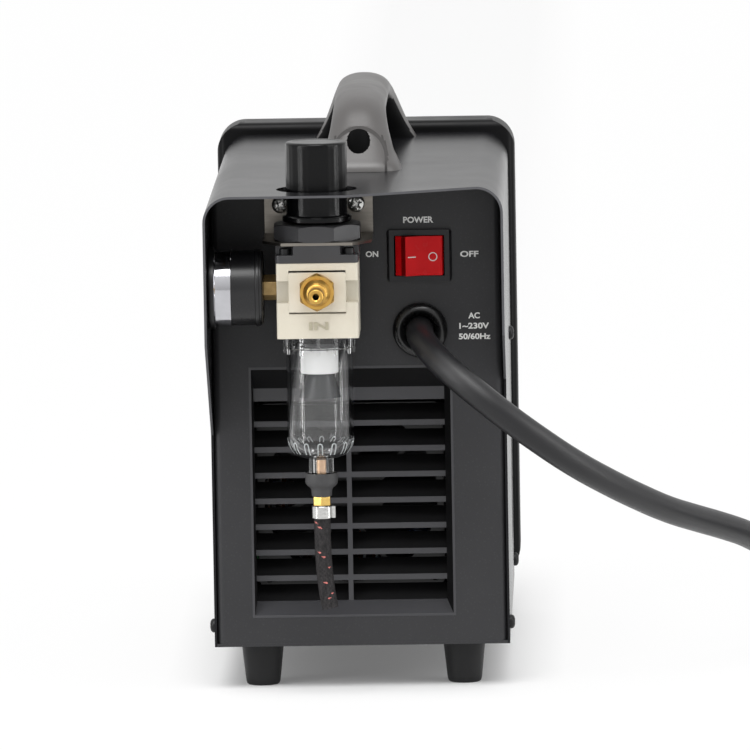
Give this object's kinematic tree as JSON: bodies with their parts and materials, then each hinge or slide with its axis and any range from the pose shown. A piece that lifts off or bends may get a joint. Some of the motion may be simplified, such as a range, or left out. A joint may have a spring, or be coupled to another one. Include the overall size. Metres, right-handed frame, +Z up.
{
  "type": "plasma cutter unit",
  "caption": "Compact inverter plasma cutter in a black sheet case with a top handle, hooded filter regulator with clear bowl, rocker switch, vent grille and mains cord.",
  "frame": {"origin": "under the middle of the unit's box, on the surface that the feet stand on, the cord left out", "axes": "+Z up, +Y from the rear panel towards the front panel, +X to the right seen from the rear"},
  "size_m": [0.4988, 0.384, 0.2885],
  "materials": {
    "case_enamel": "powder-coated sheet steel, satin charcoal black",
    "panel_enamel": "powder-coated sheet steel, fine texture, matt",
    "moulded_black": "moulded ABS, lightly textured",
    "handle_grey": "moulded nylon, satin dark grey",
    "rubber_black": "moulded rubber",
    "cord_rubber": "smooth neoprene sheath, dark grey",
    "zinc_plate": "zinc-plated sheet and screws",
    "black_screw": "blackened steel screws",
    "cast_beige": "sand-blasted zinc casting, beige enamel",
    "brass": "turned brass",
    "chrome": "polished chrome",
    "gauge_face": "printed dial",
    "clear_lens": "clear polycarbonate",
    "filter_white": "sintered polyethylene",
    "baffle_grey": "moulded acetal, grey",
    "hose_braid": "black textile braid with red flecks over rubber",
    "rocker_red": "moulded red plastic",
    "board_green": "glass-epoxy laminate",
    "heatsink_alu": "extruded aluminium",
    "copper_core": "wound copper on a ferrite core",
    "capacitor_blue": "sleeved aluminium cans",
    "tube_blue": "polyurethane air tube",
    "lamp_clear": "tinted lamp lens",
    "window_dark": "tinted acrylic window",
    "strap_fabric": "woven hook-and-loop strap",
    "fan_plastic": "moulded fan plastic"
  },
  "bodies": {
    "case": {"cover": "case_enamel", "rear_panel": "panel_enamel", "base_plate": "panel_enamel", "rear_grille": "moulded_black", "front_bezel": "moulded_black", "front_panel": "panel_enamel", "foot_rear_left": "rubber_black", "foot_rear_right": "rubber_black", "foot_front_left": "rubber_black", "foot_front_right": "rubber_black", "handle": "handle_grey", "handle_screws": "zinc_plate", "cover_screws": "black_screw", "cross_brace": "zinc_plate", "switch_housing": "moulded_black", "cord_bushing": "rubber_black", "power_cord": "cord_rubber", "cord_coil": "cord_rubber", "cord_tie": "strap_fabric", "power_plug": "rubber_black", "regulator_bracket": "zinc_plate", "bracket_screws": "zinc_plate", "ring_nut": "moulded_black", "regulator_bonnet": "moulded_black", "regulator_body": "cast_beige", "inlet_nipple": "brass", "outlet_fitting": "brass", "gauge_port": "brass", "gauge_case": "moulded_black", "gauge_dial": "gauge_face", "gauge_lens": "clear_lens", "filter_bowl": "clear_lens", "filter_element": "filter_white", "filter_baffle": "baffle_grey", "fan_frame": "fan_plastic", "power_board": "board_green", "heatsink": "heatsink_alu", "transformer": "copper_core", "capacitors": "capacitor_blue", "solenoid_valve": "moulded_black", "air_tube": "tube_blue", "display_window": "window_dark", "status_lamps": "lamp_clear", "torch_connector": "brass", "trigger_socket": "zinc_plate", "work_socket": "moulded_black"},
    "power_rocker": {"power_rocker": "rocker_red"},
    "adjust_spindle": {"adjust_spindle": "zinc_plate"},
    "pressure_knob": {"pressure_knob": "moulded_black"},
    "fan_rotor": {"fan_rotor": "fan_plastic"},
    "drain_valve": {"drain_cup": "moulded_black", "drain_stem": "brass", "drain_nipple": "brass", "ear_clamp": "chrome", "drain_hose": "hose_braid"},
    "gauge_needle": {"gauge_needle": "black_screw"},
    "current_knob": {"current_knob": "moulded_black"},
    "mode_button": {"mode_button": "handle_grey"}
  },
  "joints": [
    {"name": "rocker_tilt", "type": "hinge", "parent": "case", "child": "power_rocker", "pos_m": [0.0312, -0.1115, 0.2149], "axis": [0, 0, -1], "range_deg": [0, 18]},
    {"name": "spindle_turn", "type": "hinge", "parent": "case", "child": "adjust_spindle", "pos_m": [-0.018, -0.144, 0.235], "axis": [0, 0, 1], "range_deg": [-720, 720]},
    {"name": "knob_pull", "type": "slide", "parent": "adjust_spindle", "child": "pressure_knob", "axis": [0, 0, 1], "range_m": [0, 0.003]},
    {"name": "fan_spin", "type": "hinge", "parent": "case", "child": "fan_rotor", "pos_m": [-0.0049, -0.083, 0.0942], "axis": [0, 1, 0], "continuous": true},
    {"name": "drain_push", "type": "slide", "parent": "case", "child": "drain_valve", "axis": [0, 0, 1], "range_m": [0, 0.0025], "stiffness_N_per_m": 400, "springref_m": -0.001},
    {"name": "needle_swing", "type": "hinge", "parent": "case", "child": "gauge_needle", "pos_m": [-0.068, -0.144, 0.2034], "axis": [1, 0, 0], "range_deg": [0, 270]},
    {"name": "current_turn", "type": "hinge", "parent": "case", "child": "current_knob", "pos_m": [0, 0.167, 0.1495], "axis": [0, 1, 0], "range_deg": [-135, 135]},
    {"name": "mode_press", "type": "slide", "parent": "case", "child": "mode_button", "axis": [0, -1, 0], "range_m": [0, 0.0012], "stiffness_N_per_m": 500, "springref_m": -0.0005}
  ]
}
